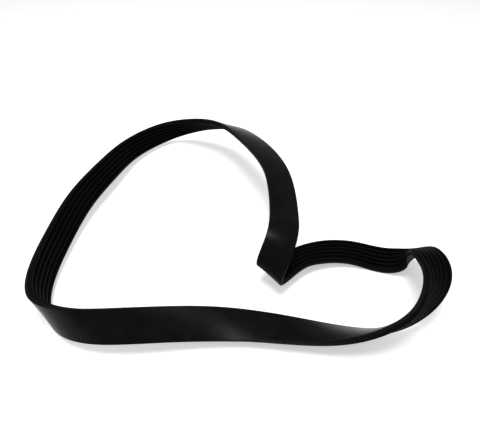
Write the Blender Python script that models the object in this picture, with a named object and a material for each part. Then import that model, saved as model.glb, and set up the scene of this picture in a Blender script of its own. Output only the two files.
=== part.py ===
"""Ribbed alternator belt, lying loosely on a flat surface.

One endless moulded piece of rubber: a smooth back and six lengthwise ribs.
Units are metres, +Z is up, and the origin is at the bottom centre of the belt's box.
"""

import math

import bpy
import numpy as np

MM = 0.001

# Driving dimensions of the belt, in millimetres and degrees
BELT_LENGTH = 955.0
BELT_THICKNESS = 4.4
RIB_COUNT = 6
RIB_PITCH = 3.56
RIB_HEIGHT = 2.2
RIB_ANGLE = 40.0
RIB_TIP_WIDTH = 1.2
CORD_DEPTH = 1.4
BACK_BEVEL = 0.4

# Spacing of the sections along the belt, and steps in which its route is measured
SECTION_SPACING = 8.5
SECTION_TURN = 25.0
MEASURING_STEPS = 4000

# Way the belt lies, as points that its cord line passes through:
# x, y and height in millimetres, then heading and rise in degrees of the line across its width
ROUTE = (
    (-123, -104, 12, 185, 77),
    (-102, -119, 15, 96, 72),
    (-63, -123, 16, 91, 38),
    (-22, -118, 11, 90, 22),
    (12, -118, 7, 89, 0),
    (38, -121, 7, 87, -16),
    (66, -124, 9, 84, -37),
    (90, -124, 13, 74, -57),
    (108, -118, 18, 44, -64),
    (125, -102, 26, -6, -40),
    (132, -86, 28, -5, -15),
    (133, -71, 24, 6, -6),
    (131, -64, 12, 36, 0),
    (118, -62, 4, 66, 9),
    (90, -53, 4, 86, 5),
    (60, -55, 6, 107, -5),
    (41, -65, 7, 127, -12),
    (25, -81, 14, 134, 8),
    (32, -70, 31, 165, 10),
    (37, -43, 35, 176, 10),
    (38, -18, 38, 185, 13),
    (35, 3, 41, 193, 16),
    (26, 29, 43, 202, 16),
    (13, 57, 40, 208, 18),
    (-9, 89, 34, 217, 29),
    (-40, 113, 24, 238, 52),
    (-72, 121, 13, 203, 76),
    (-95, 106, 11, 150, 60),
    (-110, 80, 13, 149, 56),
    (-119, 38, 16, 165, 49),
    (-129, -2, 15, 177, 52),
    (-134, -46, 12, 185, 61),
    (-134, -77, 11, 189, 68),
)


def unit(vectors):
    return vectors / np.linalg.norm(vectors, axis=-1, keepdims=True)


def closed_spline(knots, values, places):
    """Smooth closed curve through values[i] at knots[i]; the last knot is the first point again."""
    spans = np.diff(knots)
    count = len(spans)
    following = np.roll(np.arange(count), -1)
    slopes = (values[following] - values) / spans[:, None]
    system = np.zeros((count, count))
    target = np.zeros_like(values)
    for i in range(count):
        system[i, i - 1] += spans[i - 1]
        system[i, i] += 2 * (spans[i - 1] + spans[i])
        system[i, following[i]] += spans[i]
        target[i] = 6 * (slopes[i] - slopes[i - 1])
    bends = np.linalg.solve(system, target)
    i = np.clip(np.searchsorted(knots, places, side="right") - 1, 0, count - 1)
    span = spans[i][:, None]
    ahead = (places - knots[i])[:, None]
    left = span - ahead
    j = following[i]
    return (
        (bends[i] * left**3 + bends[j] * ahead**3) / (6 * span)
        + (values[i] / span - bends[i] * span / 6) * left
        + (values[j] / span - bends[j] * span / 6) * ahead
    )


def route_curve():
    """Route points in metres scaled to the belt's length, width directions and chord knots."""
    rows = np.array(ROUTE, dtype=float)
    points = rows[:, :3] * MM
    heading, rise = np.radians(rows[:, 3]), np.radians(rows[:, 4])
    across = np.stack(
        [np.cos(rise) * np.cos(heading), np.cos(rise) * np.sin(heading), np.sin(rise)], axis=1
    )
    chords = np.linalg.norm(np.roll(points, -1, axis=0) - points, axis=1)
    knots = np.concatenate([[0.0], np.cumsum(chords)])
    fine = closed_spline(knots, points, np.linspace(0.0, knots[-1], MEASURING_STEPS))
    length = np.linalg.norm(np.diff(fine, axis=0), axis=1).sum()
    scale = BELT_LENGTH * MM / length
    return points * scale, across, knots * scale


def lying_tilt(tangent, across):
    """Turn about the route that brings a section standing upright onto its width direction."""
    left = unit(np.cross((0.0, 0.0, 1.0), tangent))
    upward = np.cross(tangent, left)
    return -math.atan2(across @ left, across @ upward)


def section_places(route, across, knots):
    """Places of the sections: evenly spaced, and closer together where the belt bends or twists."""
    fine = np.linspace(0.0, knots[-1], MEASURING_STEPS)
    points = closed_spline(knots, route, fine)
    widths = unit(closed_spline(knots, across, fine))
    tangents = unit(np.gradient(points, axis=0))
    step = np.linalg.norm(np.diff(points, axis=0), axis=1)
    turn = np.linalg.norm(np.diff(tangents, axis=0), axis=1)
    twist = np.linalg.norm(np.diff(widths, axis=0), axis=1)
    density = step / (SECTION_SPACING * MM) + (turn + twist) / math.radians(SECTION_TURN)
    total = np.concatenate([[0.0], np.cumsum(density)])
    count = int(round(total[-1]))
    return np.interp(np.arange(count) * total[-1] / count, total, fine)


def belt_section():
    """Outline of the section, clockwise: x from the cord line towards the back, y across."""
    half_width = RIB_COUNT * RIB_PITCH / 2
    back = CORD_DEPTH
    tip = CORD_DEPTH - BELT_THICKNESS
    root = tip + RIB_HEIGHT
    half_tip = RIB_TIP_WIDTH / 2
    half_base = half_tip + RIB_HEIGHT * math.tan(math.radians(RIB_ANGLE) / 2)
    outline = [(back - BACK_BEVEL, half_width), (back, half_width - BACK_BEVEL)]
    outline += [(back, BACK_BEVEL - half_width), (back - BACK_BEVEL, -half_width), (root, -half_width)]
    for rib in range(RIB_COUNT):
        middle = (rib + 0.5) * RIB_PITCH - half_width
        outline += [(root, middle - half_base), (tip, middle - half_tip)]
        outline += [(tip, middle + half_tip), (root, middle + half_base)]
    outline.append((root, half_width))
    return outline


def poly_curve(name, points, collection, dimensions):
    data = bpy.data.curves.new(name, "CURVE")
    data.dimensions = dimensions
    spline = data.splines.new("POLY")
    spline.points.add(len(points) - 1)
    for place, point in zip(spline.points, points):
        place.co = (*point, 0.0, 1.0) if len(point) == 2 else (*point, 1.0)
    spline.use_cyclic_u = True
    curve = bpy.data.objects.new(name, data)
    collection.objects.link(curve)
    return curve


def rubber():
    material = bpy.data.materials.new("black_rubber")
    material.use_nodes = True
    shader = material.node_tree.nodes["Principled BSDF"]
    shader.inputs["Base Color"].default_value = (0.012, 0.012, 0.013, 1.0)
    shader.inputs["Roughness"].default_value = 0.5
    shader.inputs["Metallic"].default_value = 0.0
    material.diffuse_color = (0.012, 0.012, 0.013, 1.0)
    return material


def build_belt(parts, guides):
    """Sweep the section along the route and set the belt down with its lowest point at zero."""
    route, across, knots = route_curve()
    places = section_places(route, across, knots)
    points = closed_spline(knots, route, places)
    widths = closed_spline(knots, across, places)
    tangents = unit(np.roll(points, -1, axis=0) - np.roll(points, 1, axis=0))

    outline = [(x * MM, y * MM) for x, y in belt_section()]
    section = poly_curve("belt_section", outline, guides, "2D")
    path = poly_curve("belt_route", [tuple(p) for p in points], guides, "3D")
    path.data.twist_mode = "Z_UP"
    path.data.bevel_mode = "OBJECT"
    path.data.bevel_object = section
    for place, tangent, width in zip(path.data.splines[0].points, tangents, widths):
        place.tilt = lying_tilt(tangent, width)

    bpy.context.view_layer.update()
    mesh = bpy.data.meshes.new_from_object(path.evaluated_get(bpy.context.evaluated_depsgraph_get()))
    mesh.name = "ribbed_belt"
    corners = np.array([v.co for v in mesh.vertices])
    low, high = corners.min(axis=0), corners.max(axis=0)
    middle = (low + high) / 2
    for vertex, corner in zip(mesh.vertices, corners):
        vertex.co = corner - (middle[0], middle[1], low[2])

    belt = bpy.data.objects.new("ribbed_belt", mesh)
    parts.objects.link(belt)
    mesh.materials.clear()
    mesh.materials.append(rubber())
    mesh.shade_smooth()
    mesh.set_sharp_from_angle(angle=math.radians(30))
    for guide in (section, path):
        guide.hide_render = True
        guide.display_type = "WIRE"


for existing in list(bpy.data.objects):
    bpy.data.objects.remove(existing, do_unlink=True)

alternator_belt = bpy.data.collections.new("alternator_belt")
belt_guides = bpy.data.collections.new("belt_guides")
bpy.context.scene.collection.children.link(alternator_belt)
bpy.context.scene.collection.children.link(belt_guides)
build_belt(alternator_belt, belt_guides)
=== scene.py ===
"""Looks of the ribbed alternator belt: its fine rubber surface, the floor, soft light and camera.

The belt is one endless moulded piece, so the scene has one piece, which stands for the solid
`ribbed_belt` and rides on its body. Units are metres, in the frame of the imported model.
"""
import math

import bpy
import numpy as np
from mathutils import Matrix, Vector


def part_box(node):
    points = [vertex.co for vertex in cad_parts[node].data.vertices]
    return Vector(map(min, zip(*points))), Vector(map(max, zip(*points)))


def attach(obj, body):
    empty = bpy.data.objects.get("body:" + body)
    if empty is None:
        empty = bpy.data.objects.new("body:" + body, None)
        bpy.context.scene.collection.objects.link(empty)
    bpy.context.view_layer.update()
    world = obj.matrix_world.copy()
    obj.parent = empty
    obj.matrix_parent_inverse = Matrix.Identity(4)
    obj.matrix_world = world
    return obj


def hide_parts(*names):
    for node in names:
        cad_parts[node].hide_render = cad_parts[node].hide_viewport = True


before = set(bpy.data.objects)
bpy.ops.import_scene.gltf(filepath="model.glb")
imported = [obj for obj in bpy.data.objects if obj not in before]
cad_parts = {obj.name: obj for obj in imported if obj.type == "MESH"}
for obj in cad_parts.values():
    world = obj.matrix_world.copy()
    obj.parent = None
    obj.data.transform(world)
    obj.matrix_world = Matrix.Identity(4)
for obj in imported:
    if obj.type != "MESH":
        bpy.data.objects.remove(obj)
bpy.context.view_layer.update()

MM = 0.001

# Driving dimensions of the belt, in millimetres and degrees, as in the part
BELT_LENGTH = 955.0
BELT_THICKNESS = 4.4
RIB_COUNT = 6
RIB_PITCH = 3.56
RIB_HEIGHT = 2.2
RIB_ANGLE = 40.0
RIB_TIP_WIDTH = 1.2
CORD_DEPTH = 1.4

# Small radii that the moulding and the grinding of the ribs leave, in millimetres
BACK_RADIUS = 0.35
SIDE_RADIUS = 0.2
TIP_RADIUS = 0.28
ROOT_RADIUS = 0.22
FILLET_STEPS = 3

# Largest share of an edge of the section that one rounded corner may take
FILLET_SHARE = 0.48

# Step between sections, in millimetres, and turn or twist between them, in degrees
SECTION_SPACING = 2.4
SECTION_TURN = 7.0

# Points at which the route is measured
MEASURING_STEPS = 4000

# Way the belt lies, as in the part but a little smoother, as points that its cord line passes through:
# x, y and height in millimetres, then heading and rise in degrees of the line across its width
ROUTE = (
    (-121, -103, 12, 185, 77),
    (-102, -117, 15, 96, 72),
    (-63, -120.5, 16, 91, 40),
    (-22, -116, 11, 90, 22),
    (12, -115, 7, 89, 0),
    (38, -118, 7, 87, -16),
    (66, -121.5, 9, 84, -38),
    (88, -121.2, 13, 74, -60),
    (105, -116, 18, 44, -71),
    (121.5, -101, 26, -4, -42),
    (128, -85, 28, -5, -12),
    (129, -71, 24, 5, -5),
    (128, -63, 12, 36, 0),
    (117, -60, 4, 66, 9),
    (90, -53, 4, 86, 5),
    (60, -55, 6, 107, -5),
    (41, -65, 7, 127, -12),
    (25, -80, 14, 134, 8),
    (31, -69, 31, 165, 10),
    (36, -43, 35, 176, 10),
    (36, -18, 38, 185, 10),
    (33, 3, 41, 193, 11),
    (24, 29, 42, 202, 11),
    (11, 57, 40, 209, 15),
    (-9, 90, 34, 217, 29),
    (-40, 111.4, 24, 236, 52),
    (-71, 116.8, 14, 203, 70),
    (-92, 102, 12, 166, 65),
    (-107, 77, 13, 156, 57),
    (-117, 38, 16, 164, 51),
    (-127, -2, 15, 177, 52),
    (-131, -46, 12, 185, 61),
    (-130, -77, 11, 189, 68),
)

# Colours of the rubber: the mean of each surface, then its darkest and lightest patches or streaks
BACK_COLOUR = (0.003, 0.003, 0.0032)
BACK_DARK = (0.003, 0.003, 0.0032)
BACK_LIGHT = (0.005, 0.005, 0.0053)
SIDE_COLOUR = (0.004, 0.004, 0.0042)
SIDE_DARK = (0.003, 0.003, 0.0032)
SIDE_LIGHT = (0.006, 0.006, 0.0063)
RIB_COLOUR = (0.0025, 0.0025, 0.0025)
RIB_DARK = (0.0015, 0.0015, 0.0015)
RIB_LIGHT = (0.0035, 0.0035, 0.0035)

# Roughness and specular level of each surface, and the range of roughness in the patches of the back
BACK_ROUGHNESS = 0.28
BACK_SPECULAR = 0.055
SIDE_ROUGHNESS = 0.55
SIDE_SPECULAR = 0.06
RIB_ROUGHNESS = 0.60
RIB_SPECULAR = 0.04
PATCH_ROUGHNESS = (0.25, 0.32)

# Noise per metre of the clouds and patches, the grain, the knife's marks, the flecks and the grinding marks
CLOUD_SCALE = 90.0
PATCH_SCALE = 160.0
GRAIN_SCALE = 2600.0
KNIFE_SCALE = 2400.0
FLECK_SCALE = 1500.0
GRINDING_SCALE = 3000.0

# Octaves of the noise: broad shades, fine grain and marks, and flecks
BROAD_DETAIL = 3.0
FINE_DETAIL = 2.0
FLECK_DETAIL = 4.0

# Share of the noise left along the belt, which draws it out into marks
KNIFE_STRETCH = 0.05
GRINDING_STRETCH = 0.04

# Parts of the noise between which roughness and colour run
ROUGHNESS_FROM = (0.3, 0.7)
COLOUR_FROM = (0.35, 0.65)

# Depth in metres and strength of the fine relief
GRAIN_DEPTH = 0.00006
GRAIN_STRENGTH = 0.35
KNIFE_DEPTH = 0.00008
KNIFE_STRENGTH = 0.4
GRINDING_DEPTH = 0.00005
GRINDING_STRENGTH = 0.4

# Camera: place in the millimetres of the route, downward pitch in degrees, lens and sensor in
# millimetres, and nearest view in metres
CAMERA_PLACE = (5.0, -235.0, 203.6)
CAMERA_PITCH = 42.4
CAMERA_LENS = 26.25
CAMERA_SENSOR = 36.0
CAMERA_NEAREST = 0.01

# Light levels, at which a colour renders about as it is written
WORLD_LEVEL = 0.44
SOFTBOX_POWER = 6.2

# Softbox, in metres
SOFTBOX_PLACE = (-0.07, -0.08, 1.0)
SOFTBOX_AIM = (-0.02, -0.11, 0.0)
SOFTBOX_SIZE = 0.42

# Floor: half its side in metres, colour, roughness, and its lift to plain white
FLOOR_HALF = 3.0
FLOOR_COLOUR = (0.9, 0.9, 0.9)
FLOOR_ROUGHNESS = 0.9
FLOOR_LIFT = 0.45
WHITE = (1.0, 1.0, 1.0, 1.0)


def unit(vectors):
    """Vectors made one long."""
    return vectors / np.linalg.norm(vectors, axis=-1, keepdims=True)


def closed_spline(knots, values, places):
    """Smooth closed curve through values[i] at knots[i]; the last knot is the first point again."""
    spans = np.diff(knots)
    count = len(spans)
    following = np.roll(np.arange(count), -1)
    slopes = (values[following] - values) / spans[:, None]
    system = np.zeros((count, count))
    target = np.zeros_like(values)
    for i in range(count):
        system[i, i - 1] += spans[i - 1]
        system[i, i] += 2 * (spans[i - 1] + spans[i])
        system[i, following[i]] += spans[i]
        target[i] = 6 * (slopes[i] - slopes[i - 1])
    bends = np.linalg.solve(system, target)
    i = np.clip(np.searchsorted(knots, places, side="right") - 1, 0, count - 1)
    span = spans[i][:, None]
    ahead = (places - knots[i])[:, None]
    left = span - ahead
    j = following[i]
    return (
        (bends[i] * left**3 + bends[j] * ahead**3) / (6 * span)
        + (values[i] / span - bends[i] * span / 6) * left
        + (values[j] / span - bends[j] * span / 6) * ahead
    )


def route_curve():
    """Route points in metres scaled to the belt's length, width directions and chord knots."""
    rows = np.array(ROUTE, dtype=float)
    points = rows[:, :3] * MM
    heading, rise = np.radians(rows[:, 3]), np.radians(rows[:, 4])
    across = np.stack(
        [np.cos(rise) * np.cos(heading), np.cos(rise) * np.sin(heading), np.sin(rise)], axis=1
    )
    chords = np.linalg.norm(np.roll(points, -1, axis=0) - points, axis=1)
    knots = np.concatenate([[0.0], np.cumsum(chords)])
    fine = closed_spline(knots, points, np.linspace(0.0, knots[-1], MEASURING_STEPS))
    length = np.linalg.norm(np.diff(fine, axis=0), axis=1).sum()
    scale = BELT_LENGTH * MM / length
    return points * scale, across, knots * scale


def section_places(route, across, knots):
    """Places of the sections: evenly spaced, and closer together where the belt bends or twists."""
    fine = np.linspace(0.0, knots[-1], MEASURING_STEPS)
    points = closed_spline(knots, route, fine)
    widths = unit(closed_spline(knots, across, fine))
    tangents = unit(np.gradient(points, axis=0))
    step = np.linalg.norm(np.diff(points, axis=0), axis=1)
    turn = np.linalg.norm(np.diff(tangents, axis=0), axis=1)
    twist = np.linalg.norm(np.diff(widths, axis=0), axis=1)
    density = step / (SECTION_SPACING * MM) + (turn + twist) / math.radians(SECTION_TURN)
    total = np.concatenate([[0.0], np.cumsum(density)])
    count = int(round(total[-1]))
    return np.interp(np.arange(count) * total[-1] / count, total, fine)


def filleted(corners):
    """Closed outline of (x, y, radius, part) corners, with each corner rounded to its radius."""
    outline = []
    count = len(corners)
    for i, (x, y, radius, part) in enumerate(corners):
        corner = np.array((x, y))
        before = np.array(corners[i - 1][:2]) - corner
        after = np.array(corners[(i + 1) % count][:2]) - corner
        into, out = before / np.linalg.norm(before), after / np.linalg.norm(after)
        half = math.acos(np.clip(into @ out, -1.0, 1.0)) / 2
        most = FILLET_SHARE * min(np.linalg.norm(before), np.linalg.norm(after))
        reach = min(radius / math.tan(half), most)
        radius = reach * math.tan(half)
        centre = corner + unit(into + out) * radius / math.sin(half)
        start, end = corner + into * reach - centre, corner + out * reach - centre
        sweep = math.pi - 2 * half
        for step in range(FILLET_STEPS + 1):
            share = step / FILLET_STEPS
            spoke = math.sin((1 - share) * sweep) * start + math.sin(share * sweep) * end
            outline.append((*(centre + spoke / math.sin(sweep)), part))
    return outline


def belt_section():
    """Section of the belt: x from the cord line towards the back, y across, and the part of each point."""
    half_width = RIB_COUNT * RIB_PITCH / 2
    back = CORD_DEPTH
    tip = CORD_DEPTH - BELT_THICKNESS
    root = tip + RIB_HEIGHT
    half_tip = RIB_TIP_WIDTH / 2
    half_base = half_tip + RIB_HEIGHT * math.tan(math.radians(RIB_ANGLE) / 2)
    corners = [(back, half_width, BACK_RADIUS, "back"), (back, -half_width, BACK_RADIUS, "back")]
    corners.append((root, -half_width, SIDE_RADIUS, "side"))
    for rib in range(RIB_COUNT):
        middle = (rib + 0.5) * RIB_PITCH - half_width
        corners += [
            (root, middle - half_base, ROOT_RADIUS, "rib"),
            (tip, middle - half_tip, TIP_RADIUS, "rib"),
            (tip, middle + half_tip, TIP_RADIUS, "rib"),
            (root, middle + half_base, ROOT_RADIUS, "rib"),
        ]
    corners.append((root, half_width, SIDE_RADIUS, "side"))
    return filleted(corners)


def swept_belt():
    """Fine mesh of the belt, with its section, the places of the sections and the shift to the frame."""
    route, across, knots = route_curve()
    places = section_places(route, across, knots)
    points = closed_spline(knots, route, places)
    widths = closed_spline(knots, across, places)
    tangents = unit(np.roll(points, -1, axis=0) - np.roll(points, 1, axis=0))
    widths = unit(widths - (widths * tangents).sum(axis=1, keepdims=True) * tangents)
    normals = np.cross(tangents, widths)

    section = belt_section()
    depth = np.array([x for x, _, _ in section]) * MM
    side = np.array([y for _, y, _ in section]) * MM
    rings = points[:, None] + depth[:, None] * normals[:, None] + side[:, None] * widths[:, None]
    vertices = rings.reshape(-1, 3)
    low, high = vertices.min(axis=0), vertices.max(axis=0)
    cad_low, cad_high = (np.array(corner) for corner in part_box("ribbed_belt"))
    shift = (cad_low + cad_high) / 2 - (low + high) / 2
    shift[2] = cad_low[2] - low[2]

    around = len(section)
    faces = []
    for ring in range(len(rings)):
        here = ring * around
        ahead = (ring + 1) % len(rings) * around
        for k in range(around):
            m = (k + 1) % around
            faces.append((here + k, ahead + k, ahead + m, here + m))
    mesh = bpy.data.meshes.new("belt_surface")
    mesh.from_pydata([tuple(v) for v in vertices + shift], [], faces)
    return mesh, section, places, shift


def part_of_face(first, second):
    """Surface that a face belongs to, from the parts of the two section points beside it."""
    if first == second:
        return first
    return "rib" if "rib" in (first, second) else "side"


def dress_belt(mesh, section, places):
    """Material, smooth shading and a map of metres along and round the belt for every face."""
    slots = ("back", "side", "rib")
    makers = {"back": back_rubber, "side": side_rubber, "rib": rib_rubber}
    for name in slots:
        mesh.materials.append(makers[name]())
    around = len(section)
    outline = np.array([(x, y) for x, y, _ in section]) * MM
    steps = np.linalg.norm(np.roll(outline, -1, axis=0) - outline, axis=1)
    girth = np.concatenate([[0.0], np.cumsum(steps)])
    along = np.append(places, BELT_LENGTH * MM)
    parts = [part for _, _, part in section]
    surface = [slots.index(part_of_face(parts[k], parts[(k + 1) % around])) for k in range(around)]

    uv = mesh.uv_layers.new(name="metres")
    for face in mesh.polygons:
        ring, k = divmod(face.index, around)
        face.material_index = surface[k]
        corners = ((ring, k), (ring + 1, k), (ring + 1, k + 1), (ring, k + 1))
        for loop, (i, j) in zip(face.loop_indices, corners):
            uv.data[loop].uv = (along[i], girth[j])
    mesh.shade_smooth()
    mesh.update()


def new_material(name, colour, roughness, specular):
    """Principled material with its values on the shader's own sockets."""
    material = bpy.data.materials.new(name)
    material.use_nodes = True
    shader = material.node_tree.nodes["Principled BSDF"]
    shader.inputs["Base Color"].default_value = (*colour, 1.0)
    shader.inputs["Roughness"].default_value = roughness
    shader.inputs["Specular IOR Level"].default_value = specular
    return material, shader


def noise(material, scale, detail, stretch=None):
    """Noise over the object in metres, or over the belt's own length where it is stretched."""
    nodes, links = material.node_tree.nodes, material.node_tree.links
    coordinates = nodes.new("ShaderNodeTexCoord")
    texture = nodes.new("ShaderNodeTexNoise")
    texture.inputs["Scale"].default_value = scale
    texture.inputs["Detail"].default_value = detail
    if stretch is None:
        links.new(coordinates.outputs["Object"], texture.inputs["Vector"])
    else:
        mapping = nodes.new("ShaderNodeMapping")
        mapping.inputs["Scale"].default_value = (stretch, 1.0, 1.0)
        links.new(coordinates.outputs["UV"], mapping.inputs["Vector"])
        links.new(mapping.outputs["Vector"], texture.inputs["Vector"])
    return texture.outputs["Fac"]


def ranged(material, value, low, high):
    """A noise value spread from low to high."""
    node = material.node_tree.nodes.new("ShaderNodeMapRange")
    node.inputs["From Min"].default_value = ROUGHNESS_FROM[0]
    node.inputs["From Max"].default_value = ROUGHNESS_FROM[1]
    node.inputs["To Min"].default_value = low
    node.inputs["To Max"].default_value = high
    material.node_tree.links.new(value, node.inputs["Value"])
    return node.outputs["Result"]


def mixed_colour(material, shader, value, low, high):
    """Base colour that runs from low to high with a noise value."""
    ramp = material.node_tree.nodes.new("ShaderNodeValToRGB")
    ramp.color_ramp.elements[0].position = COLOUR_FROM[0]
    ramp.color_ramp.elements[0].color = (*low, 1.0)
    ramp.color_ramp.elements[1].position = COLOUR_FROM[1]
    ramp.color_ramp.elements[1].color = (*high, 1.0)
    material.node_tree.links.new(value, ramp.inputs["Fac"])
    material.node_tree.links.new(ramp.outputs["Color"], shader.inputs["Base Color"])


def bumped(material, shader, value, depth, strength):
    """Fine relief of the given depth in metres."""
    bump = material.node_tree.nodes.new("ShaderNodeBump")
    bump.inputs["Strength"].default_value = strength
    bump.inputs["Distance"].default_value = depth
    material.node_tree.links.new(value, bump.inputs["Height"])
    material.node_tree.links.new(bump.outputs["Normal"], shader.inputs["Normal"])


def back_rubber():
    """Smooth moulded back: satin black with a very fine grain and faint cloudy patches."""
    material, shader = new_material("rubber_back", BACK_COLOUR, BACK_ROUGHNESS, BACK_SPECULAR)
    clouds = noise(material, CLOUD_SCALE, BROAD_DETAIL)
    mixed_colour(material, shader, clouds, BACK_DARK, BACK_LIGHT)
    patches = ranged(material, noise(material, PATCH_SCALE, BROAD_DETAIL), *PATCH_ROUGHNESS)
    material.node_tree.links.new(patches, shader.inputs["Roughness"])
    grain = noise(material, GRAIN_SCALE, FINE_DETAIL)
    bumped(material, shader, grain, GRAIN_DEPTH, GRAIN_STRENGTH)
    return material


def side_rubber():
    """Cut edge: duller and greyer, with lengthwise marks from the knife."""
    material, shader = new_material("rubber_side", SIDE_COLOUR, SIDE_ROUGHNESS, SIDE_SPECULAR)
    streaks = noise(material, KNIFE_SCALE, FINE_DETAIL, KNIFE_STRETCH)
    mixed_colour(material, shader, streaks, SIDE_DARK, SIDE_LIGHT)
    bumped(material, shader, streaks, KNIFE_DEPTH, KNIFE_STRENGTH)
    return material


def rib_rubber():
    """Ground ribs: matt black, with lengthwise grinding marks and short fibre flecks."""
    material, shader = new_material("rubber_ribs", RIB_COLOUR, RIB_ROUGHNESS, RIB_SPECULAR)
    flecks = noise(material, FLECK_SCALE, FLECK_DETAIL)
    mixed_colour(material, shader, flecks, RIB_DARK, RIB_LIGHT)
    marks = noise(material, GRINDING_SCALE, FINE_DETAIL, GRINDING_STRETCH)
    bumped(material, shader, marks, GRINDING_DEPTH, GRINDING_STRENGTH)
    return material


def make_belt():
    """The dressed belt in place of its solid, and the shift from the route to the frame."""
    mesh, section, places, shift = swept_belt()
    dress_belt(mesh, section, places)
    belt = bpy.data.objects.new("belt_surface", mesh)
    bpy.context.scene.collection.objects.link(belt)
    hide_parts("ribbed_belt")
    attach(belt, "root")
    return shift


def make_floor():
    """White floor that keeps the belt's shadow, lifted to plain white where the camera sees it."""
    mesh = bpy.data.meshes.new("floor")
    half = FLOOR_HALF
    corners = [(-half, -half, 0), (half, -half, 0), (half, half, 0), (-half, half, 0)]
    mesh.from_pydata(corners, [], [(0, 1, 2, 3)])
    floor = bpy.data.objects.new("floor", mesh)
    bpy.context.scene.collection.objects.link(floor)
    material, shader = new_material("floor_white", FLOOR_COLOUR, FLOOR_ROUGHNESS, 0.0)
    nodes, links = material.node_tree.nodes, material.node_tree.links
    path = nodes.new("ShaderNodeLightPath")
    seen = nodes.new("ShaderNodeMath")
    seen.operation = "MAXIMUM"
    seen_too = nodes.new("ShaderNodeMath")
    seen_too.operation = "MAXIMUM"
    lift = nodes.new("ShaderNodeMath")
    lift.operation = "MULTIPLY"
    lift.inputs[1].default_value = FLOOR_LIFT
    links.new(path.outputs["Is Camera Ray"], seen.inputs[0])
    links.new(path.outputs["Is Glossy Ray"], seen.inputs[1])
    links.new(seen.outputs["Value"], seen_too.inputs[0])
    links.new(path.outputs["Is Transmission Ray"], seen_too.inputs[1])
    links.new(seen_too.outputs["Value"], lift.inputs[0])
    shader.inputs["Emission Color"].default_value = WHITE
    links.new(lift.outputs["Value"], shader.inputs["Emission Strength"])
    mesh.materials.append(material)


def area_light(name, place, aim, size, power):
    """Round lamp at a place, turned towards its aim."""
    data = bpy.data.lights.new(name, "AREA")
    data.shape = "DISK"
    data.size = size
    data.energy = power
    lamp = bpy.data.objects.new(name, data)
    lamp.location = place
    direction = np.array(aim) - np.array(place)
    lamp.rotation_euler = (
        math.acos(-direction[2] / np.linalg.norm(direction)),
        0.0,
        math.atan2(direction[1], direction[0]) - math.pi / 2,
    )
    bpy.context.scene.collection.objects.link(lamp)


def make_light():
    """Even pale surroundings with one broad softbox straight above the belt."""
    world = bpy.data.worlds.new("studio")
    bpy.context.scene.world = world
    world.use_nodes = True
    background = world.node_tree.nodes["Background"]
    background.inputs["Color"].default_value = WHITE
    background.inputs["Strength"].default_value = WORLD_LEVEL
    area_light("softbox", SOFTBOX_PLACE, SOFTBOX_AIM, SOFTBOX_SIZE, SOFTBOX_POWER)


def make_camera(shift):
    """Camera in front of the belt and above it, looking down."""
    data = bpy.data.cameras.new("camera")
    data.sensor_width = CAMERA_SENSOR
    data.lens = CAMERA_LENS
    data.clip_start = CAMERA_NEAREST
    camera = bpy.data.objects.new("camera", data)
    camera.location = np.array(CAMERA_PLACE) * MM + shift
    camera.rotation_euler = (math.radians(90.0 - CAMERA_PITCH), 0.0, 0.0)
    bpy.context.scene.collection.objects.link(camera)
    bpy.context.scene.camera = camera


offset = make_belt()
make_floor()
make_light()
make_camera(offset)
bpy.context.scene.view_settings.view_transform = "Standard"
